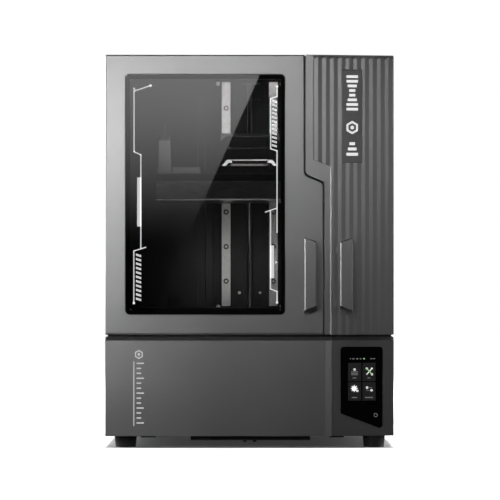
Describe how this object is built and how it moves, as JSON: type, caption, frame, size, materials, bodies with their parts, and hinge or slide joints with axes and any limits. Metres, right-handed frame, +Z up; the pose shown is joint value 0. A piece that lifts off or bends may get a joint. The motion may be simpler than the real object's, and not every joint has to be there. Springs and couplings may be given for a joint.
{
  "type": "resin printer",
  "caption": "Enclosed masking-screen resin 3D printer: windowed main door, fluted side door, lead-screw lift with build plate, resin tank, and a base with a touch control panel.",
  "frame": {"origin": "on the floor, under the middle of the whole envelope, pull bars included", "axes": "+Z up, +X to the right seen from the front, -Y towards the user, so the doors and control panel face -Y"},
  "size_m": [0.4732, 0.4276, 0.642],
  "materials": {
    "gunmetal_paint": "satin metallic dark grey paint",
    "sheet_paint": "fine-textured dark grey powder coat",
    "chamber_paint": "matt black powder coat",
    "foot_rubber": "matt black rubber",
    "dark_glass": "smoke-tinted clear pane",
    "screen_glass": "black masking screen under cover glass",
    "control_glass": "black gloss cover glass with lit icons",
    "black_plastic": "fine-grained black plastic",
    "tower_metal": "black anodised",
    "plate_metal": "fine brushed",
    "rail_steel": "ground",
    "nut_brass": "turned",
    "supply_case": "zinc plated",
    "circuit_board": "solder-masked board",
    "hopper": "polished inside",
    "film": "clear release film",
    "light_bar": "diffuser",
    "filter_carbon": "pleated carbon fibre mat"
  },
  "bodies": {
    "frame": {"base_front": "gunmetal_paint", "base_sides": "sheet_paint", "base_floor": "sheet_paint", "feet": "foot_rubber", "under_tray": "sheet_paint", "floor_pads": "foot_rubber", "deck": "sheet_paint", "screen_glass": "screen_glass", "light_engine": "hopper", "lamp_board": "circuit_board", "heat_sink": "plate_metal", "fan_frames": "black_plastic", "power_supply": "supply_case", "main_board": "circuit_board", "control_glass": "control_glass", "display_housing": "black_plastic", "door_frame": "chamber_paint", "hinge_pins": "rail_steel", "side_panels": "sheet_paint", "top_panel": "sheet_paint", "inner_wall": "chamber_paint", "tower_plate": "tower_metal", "rails": "rail_steel", "tower_screws": "rail_steel", "screw_supports": "tower_metal", "z_motor": "tower_metal", "door_gasket": "foot_rubber", "chamber_light": "light_bar", "rear_panel": "sheet_paint", "rear_base_panel": "sheet_paint", "power_inlet": "black_plastic", "rocker_housing": "black_plastic", "usb_socket": "rail_steel", "filter_box": "chamber_paint", "filter_cartridge": "filter_carbon"},
    "main_door": {"main_door": "gunmetal_paint", "window_glass": "dark_glass", "main_handle": "gunmetal_paint"},
    "side_door": {"side_door": "gunmetal_paint", "badge_blank": "black_plastic", "side_handle": "gunmetal_paint"},
    "lift_carriage": {"bearing_blocks": "rail_steel", "arm_bracket": "tower_metal", "arm_cover": "tower_metal", "lift_nut": "nut_brass", "plate_flange": "tower_metal", "build_plate": "plate_metal", "post_seat": "plate_metal"},
    "post_knob": {"post_knob": "black_plastic"},
    "lead_screw": {"lead_screw": "rail_steel", "shaft_coupling": "plate_metal"},
    "resin_tank": {"tank_frame": "tower_metal", "tank_film": "film"},
    "tank_knob_left": {"tank_knob_left": "black_plastic"},
    "tank_knob_right": {"tank_knob_right": "black_plastic"},
    "engine_fan": {"engine_fan_rotor": "black_plastic"},
    "exhaust_fan": {"exhaust_fan_rotor": "black_plastic"},
    "mains_rocker": {"mains_rocker": "black_plastic"},
    "side_button": {"side_button": "black_plastic"}
  },
  "joints": [
    {"name": "main_door_hinge", "type": "hinge", "parent": "frame", "child": "main_door", "pos_m": [-0.23, -0.1783, 0.4], "axis": [0, 0, -1], "range_deg": [0, 110]},
    {"name": "side_door_hinge", "type": "hinge", "parent": "frame", "child": "side_door", "pos_m": [0.23, -0.1608, 0.4], "axis": [0, 0, 1], "range_deg": [0, 105]},
    {"name": "z_lift", "type": "slide", "parent": "frame", "child": "lift_carriage", "axis": [0, 0, 1], "range_m": [-0.22, 0.08]},
    {"name": "lead_screw_spin", "type": "hinge", "parent": "frame", "child": "lead_screw", "pos_m": [0, 0.0722, 0.3], "axis": [0, 0, 1], "range_deg": [-2890, 7930]},
    {"name": "post_knob_turn", "type": "hinge", "parent": "lift_carriage", "child": "post_knob", "pos_m": [-0.142, -0.0918, 0.5], "axis": [0, 0, 1], "range_deg": [-90, 90]},
    {"name": "tank_lift", "type": "slide", "parent": "frame", "child": "resin_tank", "axis": [0, 0, 1], "range_m": [0, 0.05]},
    {"name": "tank_knob_left_turn", "type": "hinge", "parent": "resin_tank", "child": "tank_knob_left", "pos_m": [-0.13, -0.1448, 0.23], "axis": [0, 0, 1], "continuous": true},
    {"name": "tank_knob_right_turn", "type": "hinge", "parent": "resin_tank", "child": "tank_knob_right", "pos_m": [0.13, -0.1448, 0.23], "axis": [0, 0, 1], "continuous": true},
    {"name": "engine_fan_spin", "type": "hinge", "parent": "frame", "child": "engine_fan", "pos_m": [0, -0.0398, 0.033], "axis": [0, 0, 1], "continuous": true},
    {"name": "exhaust_fan_spin", "type": "hinge", "parent": "frame", "child": "exhaust_fan", "pos_m": [0.155, 0.1992, 0.533], "axis": [0, -1, 0], "continuous": true},
    {"name": "mains_rocker_tilt", "type": "hinge", "parent": "frame", "child": "mains_rocker", "pos_m": [-0.14, 0.2072, 0.082], "axis": [1, 0, 0], "range_deg": [0, 10]},
    {"name": "side_button_press", "type": "slide", "parent": "frame", "child": "side_button", "axis": [-1, 0, 0], "range_m": [0, 0.0012], "stiffness_N_per_m": 800}
  ],
  "couplings": [
    {"joint": "lead_screw_spin", "follows": "z_lift", "rad_per_m": -628.32}
  ]
}
